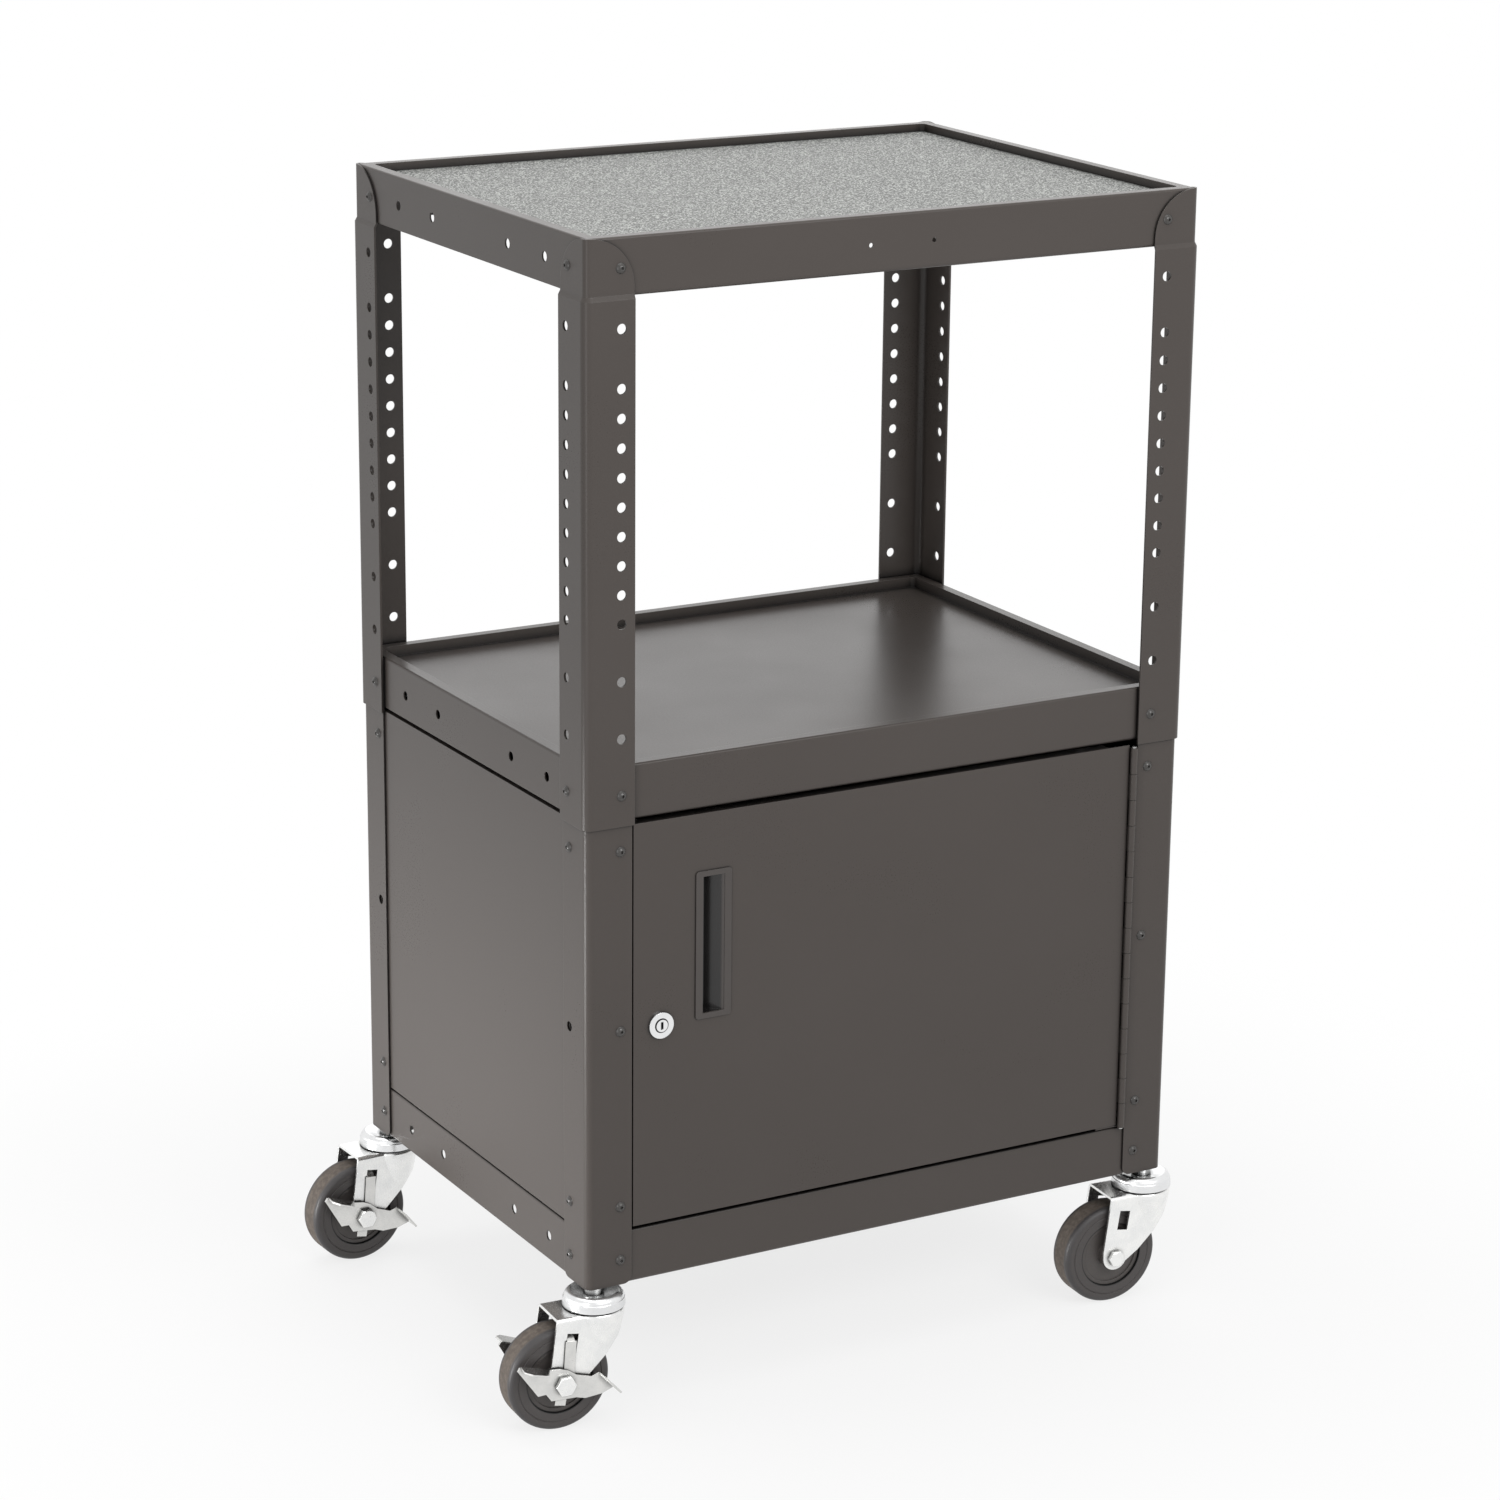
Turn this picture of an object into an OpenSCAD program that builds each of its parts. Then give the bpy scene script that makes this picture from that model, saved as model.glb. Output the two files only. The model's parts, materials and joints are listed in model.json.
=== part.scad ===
/* [Frame] */
// Width over the side flanges of the shelves
shelf_w = 612; // [580:1:700]
// Depth over the front and back flanges of the shelves
shelf_d = 456; // [430:1:520]
// Rise from the screws of the bottom shelf to those of the middle shelf
cabinet_rise = 431.8; // [420:1:470]
// Rise from the screws of the middle shelf to those of the top shelf
bay_rise = 457.2; // [440:1:500]

/* [Shelves] */
// Height of a shelf's flange
flange_h = 50.5; // [46:0.5:56]
// Rise of the side flanges' lower edge over the front one
side_rise = 2; // [0:0.2:4]
// Height of the corner screws over the flange's lower edge
screw_up = 24.5; // [22:0.5:27]
// Sheet thickness of the shelves
shelf_t = 1.5; // [1.2:0.1:2]
// Width of the raised lip round the tray
lip_w = 11.5; // [9:0.5:14]
// Depth of the tray below its lip
tray_drop = 10; // [7:0.5:13]
// Bend radius along the lip
lip_r = 2; // [2:0.1:2.4]
// Bend radius of the rolled lower edge, front and back
roll_r = 4; // [3:0.5:5]
// Width of the return under the front and back flanges
roll_w = 14; // [10:1:18]
// Upright corner radius of a shelf
shelf_r = 6; // [5.5:0.1:7]
// Thickness of the mat on the top shelf
mat_t = 2.6; // [2:0.1:4]
// Play of the mat inside the lip
mat_play = 0.8; // [0.3:0.1:2]

/* [Accessory Holes] */
// Diameter of the four holes in each side flange
side_hole_d = 9; // [5:0.2:10]
// Spacing of the inner pair of side holes
side_inner = 150; // [120:1:170]
// Spacing of the outer pair of side holes
side_outer = 290; // [250:1:310]
// Distance of the side hole pattern in front of the middle
side_shift = 6; // [0:1:10]
// Diameter of the two holes in the top shelf's front flange
front_hole_d = 4.2; // [3:0.1:7]
// Spacing of those two holes
front_spacing = 63.5; // [50:0.5:90]

/* [Posts] */
// Sheet thickness of the posts
post_t = 2; // [1.6:0.1:2.4]
// Leg width of the upper posts
upper_leg = 48; // [46:0.5:52]
// Leg width of the lower posts
lower_leg = 44.5; // [42:0.5:46]
// Inner bend radius of the joggled ear on an upper post
ear_bend_r = 4; // [3.5:0.1:4.4]
// Inner bend radius of a lower post
lower_bend_r = 5; // [4.6:0.1:5.3]
// Distance of the hole rows from the flange corner
hole_inset = 31.2; // [29:0.2:33]
// Diameter of the free holes in the posts
post_hole_d = 9; // [7:0.1:10]
// Pitch of the height adjustment
pitch = 25.4; // [22:0.2:26]
// Corner radius of the ear at the top of an upper post
ear_r = 42; // [36:1:44]
// Height of the joggle below the ear
joggle_h = 3.8; // [3:0.2:6]
// Depth of an upper post below the screws of the middle shelf
upper_tail = 27.9; // [27:0.1:29]
// Corner radius at the foot of a lower post
foot_r = 8; // [4:1:12]
// Rise of a lower post's foot over the lower edge of the bottom shelf
foot_rise = 0.8; // [0:0.2:2]

/* [Fasteners] */
// Diameter of a screw's button head
head_d = 9.6; // [8.8:0.2:11]
// Height of a screw's button head
head_h = 2.8; // [2:0.1:3]
// Shank diameter of the screws
shank_d = 5.8; // [5:0.1:6]
// Radial play of a shank in the sheets behind the posts
shank_play = 0.3; // [0.2:0.1:0.5]
// Width across the flats of the nuts
nut_af = 10; // [9:0.5:11]
// Thickness of the nuts
nut_t = 4; // [3:0.5:5]

/* [Cabinet] */
// Sheet thickness of the panels
panel_t = 1.2; // [1:0.1:1.5]
// Gap between a panel and the shelves
panel_gap = 1.8; // [1:0.2:3]
// Width of the returns round a panel
panel_return = 12; // [8:1:14]
// Gap between the door and the left post
door_gap_left = 1.4; // [1:0.1:2.5]
// Gap between the door and the shelf above it
door_gap_top = 3.4; // [2.5:0.1:5]
// Gap between the door and the shelf below it
door_gap_foot = 3.7; // [2.5:0.1:5]
// Depth of the door's returns behind its face
door_return = 12; // [8:0.5:12]

/* [Hinge] */
// Radius of the hinge barrel
barrel_r = 3.55; // [3.4:0.05:3.7]
// Distance of the hinge pin in front of the door's face
pin_proud = 2; // [1.8:0.1:2.2]
// Distance from the hinge pin to the right post
pin_side = 5.45; // [5.2:0.05:6]
// Radius of the hinge pin
hinge_pin_r = 1.2; // [1:0.05:1.4]
// Radial clearance of the hinge pin
hinge_play = 0.06; // [0.05:0.01:0.1]
// Number of knuckles, an odd number
knuckles = 15; // [9:2:17]
// Gap between two knuckles
knuckle_gap = 0.4; // [0.3:0.1:0.8]
// Thickness of the hinge leaves
leaf_t = 1.2; // [1:0.1:1.4]
// Width of a hinge leaf from the pin
leaf_w = 26; // [24:1:28]
// Distance of the hinge's upper end below the door's
hinge_drop = 2.4; // [1:0.2:4]

/* [Pull And Lock] */
// Width of the pull's bezel
bezel_w = 35.6; // [32:0.2:40]
// Height of the pull's bezel
bezel_h = 137; // [120:1:150]
// Width of the pull's opening
grip_w = 21.6; // [18:0.2:24]
// Height of the pull's opening
grip_h = 127; // [110:1:127]
// Depth of the pull behind the door's face
grip_depth = 13; // [10:0.5:14]
// Wall thickness of the pull
grip_wall = 1.5; // [1.2:0.1:1.8]
// Distance from the door's left edge to the middle of the pull
pull_x = 79.2; // [76:0.2:90]
// Distance from the door's top edge to the middle of the pull
pull_z = 121.3; // [100:1:140]
// Distance from the door's left edge to the lock
lock_x = 26.9; // [24:0.2:30]
// Distance from the door's top edge to the lock
lock_z = 188.5; // [180:0.5:195]
// Diameter of the lock's face
lock_face_d = 24; // [22:0.5:26]
// Diameter of the lock's barrel
lock_barrel_d = 18.6; // [17:0.2:19]
// Diameter of the lock's plug
plug_d = 12.4; // [10:0.2:13]
// Radial clearance of the plug
plug_play = 0.06; // [0.05:0.01:0.1]
// Reach of the cam from the plug's axis
cam_reach = 34; // [33:0.5:38]
// Width of the cam
cam_w = 14; // [10:0.5:16]
// Thickness of the cam
cam_t = 2; // [1.5:0.1:2.5]

/* [Casters] */
// Distance of a caster's stem inside the flanges
stem_inset = 11.2; // [11:0.1:12]
// Wheel diameter
wheel_d = 96.6; // [90:0.2:98]
// Tyre width
tyre_w = 29.4; // [26:0.2:31]
// Diameter of the seam between the tyre and the hub
seam_d = 63; // [56:0.5:68]
// Trail of the axle behind the stem
trail = 39.1; // [36:0.1:42]
// Outer width of a fork
fork_w = 44; // [43.6:0.2:46]
// Sheet thickness of a fork
fork_t = 2.5; // [2:0.1:2.8]
// Gap between a tyre and its fork's roof
roof_gap = 10.4; // [9:0.1:11]
// Height of the swivel bearing between a fork and its cap
bearing_h = 6.6; // [6.4:0.1:7]
// Thickness of a cap over its bearing
cap_t = 3.6; // [3:0.1:4]
// Depth of the dish in a cap
dish = 3.8; // [3:0.1:4.4]
// Gap between a cap and the bottom shelf
stem_gap = 4; // [3.5:0.1:5.5]
// Radius of a fork's round crown
crown_r = 27.4; // [25:0.1:28]
// Radius of a caster's cap
cap_r = 28.5; // [27:0.1:29]
// Radius of the kingpin
king_r = 6; // [5.5:0.1:6.5]
// Radial clearance of the kingpin in its fork
king_play = 0.06; // [0.05:0.01:0.1]
// Radius of the stem's collar
collar_r = 8.75; // [8:0.05:9.5]
// Radius of the stem's thread
thread_r = 5; // [4:0.1:5.5]
// Radius of the axle bolt
axle_r = 5; // [4:0.1:5.4]
// Outer radius of the axle sleeve
sleeve_r = 8; // [7.4:0.1:9]
// Radial clearance of the hub on its sleeve
hub_play = 0.06; // [0.05:0.01:0.1]
// Width across the flats of the axle bolt and nut
axle_af = 17; // [15:0.5:18]
// Width across the flats of the bolt and nut of a caster without a brake
plain_af = 14; // [13:0.5:17]
// Angle of the front left caster
yaw_fl = 176.3; // [170:0.1:190]
// Angle of the front right caster
yaw_fr = 176.3; // [170:0.1:190]
// Angle of the rear left caster
yaw_rl = 182.3; // [170:0.1:190]
// Angle of the rear right caster
yaw_rr = 178; // [170:0.1:190]

/* [Brakes] */
// Thickness of a brake lever
lever_t = 1.8; // [1.5:0.1:2]
// Reach of the raised wing from the axle
lever_back = 43; // [38:0.5:46]
// Reach of the lowered wing from the axle
lever_front = 48.5; // [42:0.5:50]
// Width of a pedal
pedal_w = 16; // [10:0.5:17]
// Depth that a pedal's root reaches into the lever
pedal_lap = 0.6; // [0.4:0.1:1]
// Radial clearance of a lever on its axle
lever_play = 0.06; // [0.05:0.01:0.1]
// Angle by which the far lever of the front left caster is raised
far_raise = 6; // [0:1:10]
// Angle by which the rear left caster's lever is raised
rear_raise = 5; // [0:1:10]
// Thickness of a brake spring
spring_t = 1.2; // [1:0.1:1.4]
// Width of a brake spring
spring_w = 10.4; // [9:0.2:10.8]

/* [Hidden] */

$fn = 64;
// Overrun of every cut past the face it opens
cut = 1;
// Hairline between two pieces that are clamped together
seat = 0.05;
// Clearance between two pieces that move past each other
run = 0.3;
// Shift that puts the origin under the middle of the whole object
frame_shift = [29.7, 4.8, 0];

paint = "#4b4845";
zinc = "#c9c9c4";
chrome = "#dcdcdc";
rubber = "#4a4644";
hub_grey = "#3c3a3a";
mat_grey = "#55564f";
black = "#1f1f1f";
steel = "#8d8f90";

half_w = shelf_w / 2;
half_d = shelf_d / 2;
corners = [[-1, -1], [1, -1], [-1, 1], [1, 1]];

// Heights of a caster's parts, stacked from the floor up to the bottom shelf
fork_top = wheel_d + roof_gap + fork_t;
race_foot = fork_top + bearing_h;
collar_foot = race_foot + cap_t;
cap_top = collar_foot + dish;
caster_h = cap_top + stem_gap;

// Heights of the three rows of shelf screws
bottom_z = caster_h + screw_up;
middle_z = bottom_z + cabinet_rise;
top_z = middle_z + bay_rise;
lip_up = flange_h - screw_up;

// Rows of holes in the posts, in pitches below the screws of the top and the middle shelf
upper_rows = [2, 4, 5, 6, 7, 8, 9, 10, 11, 12, 14, 16];
panel_rows = [2, 15];
spare_row = 8.5;

// Corner relief of a shelf's return, hidden behind the posts
relief = lower_leg - post_t - 1.5 * shelf_t;

// Door outline
door_left = -half_w - post_t + lower_leg + door_gap_left;
pin_x = half_w + post_t - lower_leg - pin_side;
pin_y = -half_d - post_t - pin_proud;
door_right = pin_x - barrel_r - run;
door_top = middle_z - screw_up - door_gap_top;
door_foot = bottom_z + lip_up + door_gap_foot;
door_face = -half_d - post_t;
lock_at = [door_left + lock_x, door_top - lock_z];
pull_at = [door_left + pull_x, door_top - pull_z];

// Depths of the lock's parts behind the front
lock_face_t = 2.5;
return_back = door_face + door_return;
tongue_t = 2;
tongue_y = return_back + 2 * run;
cam_y = tongue_y + tongue_t + run;
lock_nut_t = 4;
lock_nut_af = 24;
plug_proud = 0.8;
plug_tail_r = 4;
cam_nut_t = 3;
cam_nut_af = 11;
key_slot = [1.8, 7, 3];

// Strike plate
strike_half = 18;
tongue_half = 12;
tongue_reach = 12;
web_off = 1.5;
strike_t = 1.5;

// Hinge
hinge_top = door_top - hinge_drop;
hinge_len = door_top - door_foot;
knuckle_pitch = hinge_len / knuckles;
pin_head_r = 2.2;
pin_head_h = 1;

// Bracket that holds a caster's stem in a corner
bracket_t = 1.5;
bracket_floor = 3;
bracket_w = 38;
bracket_rise = 38;
boss_r = 8.6;
boss_h = 14;
thread_play = 0.1;

// Caster
wheel_r = wheel_d / 2;
fork_half = fork_w / 2;
fork_in = fork_half - fork_t;
tyre_half = tyre_w / 2;
seam_r = seam_d / 2;
tyre_round = 5;
bend_out = 4;
crown_skirt = 12.5;
crown_fade = 34;
fork_back = 44;
leg_foot_r = 12.5;
window = [11, 19];
window_at = [trail - 8.3, wheel_r + 36.7];
window_lean = 9;
king_head = [9, 3.2];
cap_shoulder = 21.5;
cap_foot = fork_top + 1;
ball_gap = 0.1;
ball_r = bearing_h / 2 - ball_gap;
ball_circle = 19;
balls = 12;
cage = [15.5, 22.5, 1.4];
axle_head_h = 5.2;
axle_nut_h = 7;
axle_tip = 2;
washer_play = 0.2;
hub_boss_r = 12.5;
hub_half = 12.6;
hub_lip = [4, 1.2];
ring_r = (seam_r + wheel_r) / 2;
ring_w = 1.2;

// Brake
spring_y = fork_half + run;
lever_y = spring_y + spring_t + run;
lever_out = lever_y + lever_t;
spring_lean = 4;
spring_shift = 4.5;
spring_rise = 40;
spring_eye_r = 8.6;
spring_tab = 20.5;
tab_lean = 11;
tongue_w = 7.2;
tongue_gap = 0.6;

module placed() {
    translate(frame_shift) children();
}

// Rounded rectangle about the origin
module round_rect(w, d, r) {
    for (x = [-1, 1], y = [-1, 1])
        translate([x * (w / 2 - r), y * (d / 2 - r)]) circle(r);
    square([w - 2 * r, d], center = true);
    square([w, d - 2 * r], center = true);
}

// Side outline of a pan: top corners of radius r, lower corners of radius foot
module pan_side(w, h, r, foot) {
    translate([-w / 2, foot]) square([w, h - foot - r]);
    translate([-w / 2 + r, h - r - cut]) square([w - 2 * r, r + cut]);
    for (x = [-1, 1]) translate([x * (w / 2 - r), h - r]) circle(r);
    if (foot > 0) {
        translate([-w / 2 + foot, 0]) square([w - 2 * foot, foot + cut]);
        for (x = [-1, 1]) translate([x * (w / 2 - foot), foot]) circle(foot);
    }
}

// Closed block with the outer form of a pan, standing on its lower edge
module pan_block(w, d, h, corner, r, foot) {
    intersection() {
        linear_extrude(h) round_rect(w, d, corner);
        rotate([90, 0, 0]) linear_extrude(d + 2 * cut, center = true) pan_side(w, h, r, 0);
        rotate([90, 0, 90]) linear_extrude(w + 2 * cut, center = true) pan_side(d, h, r, foot);
    }
}

// Hole through a wall that faces front or back
module hole_y(x, y, z, r, span) {
    translate([x, y, z]) rotate([90, 0, 0]) cylinder(r = r, h = span, center = true);
}

// Hole through a wall that faces left or right
module hole_x(x, y, z, r, span) {
    translate([x, y, z]) rotate([0, 90, 0]) cylinder(r = r, h = span, center = true);
}

// Pressed pan with a lip, a sunken tray and flanges, about its row of screws
module shelf(front_holes) {
    wall = flange_h + screw_up;
    screw_r = shank_d / 2 + shank_play;
    difference() {
        translate([0, 0, -screw_up])
            pan_block(shelf_w, shelf_d, flange_h, shelf_r, lip_r, roll_r);
        // Hollow below the lip and the tray
        difference() {
            union() {
                translate([0, 0, -screw_up + shelf_t])
                    pan_block(shelf_w - 2 * shelf_t, shelf_d - 2 * shelf_t, flange_h - 2 * shelf_t,
                              shelf_r - shelf_t, lip_r - shelf_t, roll_r - shelf_t);
                translate([0, 0, -screw_up + (roll_r + shelf_t - cut) / 2])
                    cube([shelf_w - 2 * shelf_t, shelf_d - 2 * roll_w, roll_r + shelf_t + cut],
                         center = true);
            }
            translate([0, 0, lip_up - tray_drop - shelf_t])
                linear_extrude(tray_drop + shelf_t)
                    round_rect(shelf_w - 2 * lip_w + 2 * shelf_t, shelf_d - 2 * lip_w + 2 * shelf_t,
                               shelf_r);
        }
        // Tray
        translate([0, 0, lip_up - tray_drop])
            linear_extrude(tray_drop + cut)
                round_rect(shelf_w - 2 * lip_w, shelf_d - 2 * lip_w, shelf_r - shelf_t);
        // Corner relief of the returns
        for (c = corners)
            translate([c[0] * half_w, c[1] * half_d, -screw_up])
                cube([2 * relief, 2 * (roll_w + shelf_t), 2 * roll_r], center = true);
        // Shorter side flanges
        for (x = [-1, 1])
            translate([x * half_w, 0, -screw_up])
                cube([4 * shelf_t, shelf_d - 2 * roll_w, 2 * side_rise], center = true);
        // Corner screws
        for (c = corners) {
            hole_y(c[0] * (half_w - hole_inset), c[1] * half_d, 0, screw_r, 4 * shelf_t);
            hole_x(c[0] * half_w, c[1] * (half_d - hole_inset), 0, screw_r, 4 * shelf_t);
        }
        // Accessory holes
        for (x = [-1, 1], y = [-side_outer, -side_inner, side_inner, side_outer])
            hole_x(x * half_w, -side_shift + y / 2, 0, side_hole_d / 2, 4 * shelf_t);
        if (front_holes)
            for (x = [-1, 1])
                hole_y(x * front_spacing / 2, -half_d, 0, front_hole_d / 2, 4 * shelf_t);
    }
}

module top_shelf() {
    color(paint) placed() translate([0, 0, top_z]) shelf(true);
}

module middle_shelf() {
    color(paint) placed() translate([0, 0, middle_z]) shelf(false);
}

module bottom_shelf() {
    color(paint) placed() translate([0, 0, bottom_z]) shelf(false);
}

module top_mat() {
    w = shelf_w - 2 * lip_w - 2 * mat_play;
    d = shelf_d - 2 * lip_w - 2 * mat_play;
    color(mat_grey) placed()
        translate([0, 0, top_z + lip_up - tray_drop])
            linear_extrude(mat_t) round_rect(w, d, shelf_r - shelf_t);
}

// Turns a corner that is drawn at the front left into any corner
module at_corner(c) {
    mirror([c[0] > 0 ? 1 : 0, 0, 0]) mirror([0, c[1] > 0 ? 1 : 0, 0])
        translate([-half_w, -half_d, 0]) children();
}

// Sweeps a profile, drawn as outward distance and height, round a corner post.
// The flange corner is at the origin and the legs run along +X and +Y.
module corner_sweep(leg, bend, out) {
    run_len = leg - out - bend;
    translate([bend, bend, 0]) rotate([0, 0, 180]) rotate_extrude(angle = 90)
        translate([bend, 0]) children();
    translate([bend + run_len, 0, 0]) rotate([90, 0, -90])
        linear_extrude(run_len) children();
    translate([0, bend, 0]) rotate([90, 0, 180])
        linear_extrude(run_len) children();
}

// Cuts the free corner of both legs to a quarter round, at the top or at the foot
module leg_corner_cut(leg, out, z, r, up) {
    edge = leg - out;
    span = 4 * post_t + 2 * cut;
    for (swap = [0, 1])
        mirror(swap == 1 ? [1, -1, 0] : [0, 0, 0])
            translate([edge - r, 0, z - up * r]) difference() {
                translate([(r + cut) / 2, 0, up * (r + cut) / 2])
                    cube([r + cut, span, r + cut], center = true);
                rotate([90, 0, 0]) cylinder(r = r, h = 2 * span, center = true);
            }
}

// Holes in both legs at one height
module leg_holes(z, r) {
    hole_y(hole_inset, 0, z, r, 8 * post_t);
    hole_x(0, hole_inset, z, r, 8 * post_t);
}

// Upper post, outside the lower one, with an ear joggled in onto the top shelf
module upper_post(c) {
    out = 2 * post_t;
    foot = middle_z - upper_tail;
    joggle = top_z - screw_up;
    head = top_z + lip_up;
    color(paint) placed() at_corner(c) difference() {
        corner_sweep(upper_leg, ear_bend_r, out)
            polygon([[post_t, foot], [out, foot], [out, joggle - joggle_h / 2],
                     [post_t, joggle + joggle_h / 2], [post_t, head], [0, head],
                     [0, joggle + joggle_h / 2], [post_t, joggle - joggle_h / 2]]);
        leg_corner_cut(upper_leg, out, head, ear_r, 1);
        for (z = [top_z, middle_z]) leg_holes(z, shank_d / 2 + shank_play);
        for (row = upper_rows) leg_holes(top_z - row * pitch, post_hole_d / 2);
    }
}

// Lower post, against the flanges, with the cabinet's panels screwed to it
module lower_post(c) {
    head = middle_z + lip_up - shelf_t;
    foot = caster_h + foot_rise;
    color(paint) placed() at_corner(c) difference() {
        corner_sweep(lower_leg, lower_bend_r, post_t)
            translate([0, foot]) square([post_t - seat, head - foot]);
        leg_corner_cut(lower_leg, post_t, foot, foot_r, -1);
        for (z = [middle_z, bottom_z]) leg_holes(z, shank_d / 2 + shank_play);
        for (row = panel_rows) leg_holes(middle_z - row * pitch, shank_d / 2 + shank_play);
        leg_holes(middle_z - spare_row * pitch, post_hole_d / 2);
    }
}

module fl_upper_post() { upper_post(corners[0]); }
module fr_upper_post() { upper_post(corners[1]); }
module rl_upper_post() { upper_post(corners[2]); }
module rr_upper_post() { upper_post(corners[3]); }
module fl_lower_post() { lower_post(corners[0]); }
module fr_lower_post() { lower_post(corners[1]); }
module rl_lower_post() { lower_post(corners[2]); }
module rr_lower_post() { lower_post(corners[3]); }

// Flat pan, standing on its lower edge, with its outer face on the plane y = 0
module panel(w, foot, head, holes) {
    difference() {
        translate([-w / 2, 0, foot]) cube([w, panel_return, head - foot]);
        translate([-w / 2 - cut, panel_t, foot + panel_t])
            cube([w + 2 * cut, panel_return, head - foot - 2 * panel_t]);
        for (x = [-1, 1], row = concat(panel_rows, [spare_row]))
            hole_y(x * holes, 0, middle_z - row * pitch, shank_d / 2 + shank_play, 4 * panel_t);
    }
}

panel_foot = bottom_z + lip_up + panel_gap;
panel_head = middle_z - screw_up - panel_gap;
side_panel_w = 2 * (half_d - shelf_r);
back_panel_w = 2 * (half_w - panel_return - 2 * run);

module left_panel() {
    color(paint) placed() translate([-half_w, 0, 0]) rotate([0, 0, -90])
        panel(side_panel_w, panel_foot, panel_head, half_d - hole_inset);
}

module right_panel() {
    color(paint) placed() translate([half_w, 0, 0]) rotate([0, 0, 90])
        panel(side_panel_w, panel_foot, panel_head, half_d - hole_inset);
}

module back_panel() {
    color(paint) placed() translate([0, half_d, 0]) rotate([0, 0, 180])
        panel(back_panel_w, panel_foot, panel_head, half_w - hole_inset);
}

// Door: a face with returns on three sides, open at the hinge
module door_panel() {
    w = door_right - door_left;
    h = door_top - door_foot;
    slot_w = grip_w + 2 * grip_wall + 2 * run;
    slot_h = grip_h + 2 * grip_wall + 2 * run;
    color(paint) placed() difference() {
        translate([door_left, door_face, door_foot]) cube([w, door_return, h]);
        translate([door_left + panel_t, door_face + panel_t, door_foot + panel_t])
            cube([w, door_return, h - 2 * panel_t]);
        // The top and bottom returns stop short of the hinge leaf
        translate([pin_x - leaf_w - run, door_face + panel_t, door_foot - cut])
            cube([leaf_w, door_return, h + 2 * cut]);
        translate([pull_at[0] - slot_w / 2, door_face - cut, pull_at[1] - slot_h / 2])
            cube([slot_w, 3 * cut, slot_h]);
        hole_y(lock_at[0], door_face, lock_at[1], lock_barrel_d / 2 + run, 4 * panel_t);
    }
}

// Recessed pull: a bezel on the door's face and a cup that is deep on its left
module door_pull() {
    face = 1.3;
    lead = 9;
    w = grip_w + 2 * grip_wall;
    h = grip_h + 2 * grip_wall;
    color(black) placed() translate([pull_at[0], door_face, pull_at[1]])
        difference() {
            union() {
                translate([0, -face, 0]) rotate([-90, 0, 0])
                    linear_extrude(face - seat) round_rect(bezel_w, bezel_h, 2 * grip_wall);
                linear_extrude(h, center = true)
                    polygon([[-w / 2, -face], [w / 2, -face], [w / 2, panel_t],
                             [-w / 2 + lead + grip_wall, grip_depth], [-w / 2, grip_depth]]);
            }
            linear_extrude(grip_h, center = true)
                polygon([[-grip_w / 2, -face - cut], [grip_w / 2, -face - cut],
                         [grip_w / 2, -face / 2],
                         [-grip_w / 2 + lead - grip_wall, grip_depth - grip_wall],
                         [-grip_w / 2, grip_depth - grip_wall]]);
        }
}

// One leaf of the long hinge: side is 1 for the post and -1 for the door
module hinge_leaf(side, first, inner) {
    back = inner + leaf_t;
    difference() {
        union() {
            for (k = [first : 2 : knuckles - 1])
                translate([0, 0, -(k + 1) * knuckle_pitch + knuckle_gap / 2]) {
                    cylinder(r = barrel_r, h = knuckle_pitch - knuckle_gap);
                    translate([side > 0 ? barrel_r - leaf_t : -barrel_r, 0, 0])
                        cube([leaf_t, back, knuckle_pitch - knuckle_gap]);
                }
            translate([side > 0 ? barrel_r - leaf_t : -leaf_w, inner, -hinge_len])
                cube([leaf_w - barrel_r + leaf_t, leaf_t, hinge_len]);
        }
        translate([0, 0, -hinge_len - cut])
            cylinder(r = hinge_pin_r + hinge_play, h = hinge_len + 2 * cut);
    }
}

module hinge_door_leaf() {
    color(paint) placed() translate([pin_x, pin_y, hinge_top])
        hinge_leaf(-1, 1, pin_proud + panel_t + seat);
}

module hinge_post_leaf() {
    color(paint) placed() difference() {
        translate([pin_x, pin_y, hinge_top]) hinge_leaf(1, 0, pin_proud + post_t + seat);
        for (row = concat(panel_rows, [spare_row]))
            hole_y(half_w - hole_inset, -half_d, middle_z - row * pitch,
                   shank_d / 2 + shank_play, 6 * leaf_t);
    }
}

module hinge_pin() {
    color(steel) placed() translate([pin_x, pin_y, hinge_top]) {
        translate([0, 0, -hinge_len]) cylinder(r = hinge_pin_r, h = hinge_len);
        cylinder(r = pin_head_r, h = pin_head_h);
        translate([0, 0, -hinge_len - pin_head_h]) cylinder(r = pin_head_r, h = pin_head_h);
    }
}

// Places a lock part on the lock's axis, with +Z running to the rear
module on_lock() {
    placed() translate([lock_at[0], door_face, lock_at[1]]) rotate([-90, 0, 0]) children();
}

module lock_body() {
    color(chrome) on_lock() difference() {
        union() {
            translate([0, 0, -lock_face_t]) cylinder(r = lock_face_d / 2, h = lock_face_t - seat);
            translate([0, 0, -lock_face_t])
                cylinder(r = lock_barrel_d / 2, h = lock_face_t + cam_y - door_face - run);
        }
        translate([0, 0, -lock_face_t - cut])
            cylinder(r = plug_d / 2 + plug_play, h = lock_face_t + cam_y - door_face + 2 * cut);
    }
}

module lock_nut() {
    color(zinc) on_lock() translate([0, 0, panel_t + seat]) difference() {
        cylinder(r = lock_nut_af / sqrt(3), h = lock_nut_t, $fn = 6);
        translate([0, 0, -cut])
            cylinder(r = lock_barrel_d / 2 + seat, h = lock_nut_t + 2 * cut);
    }
}

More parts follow.
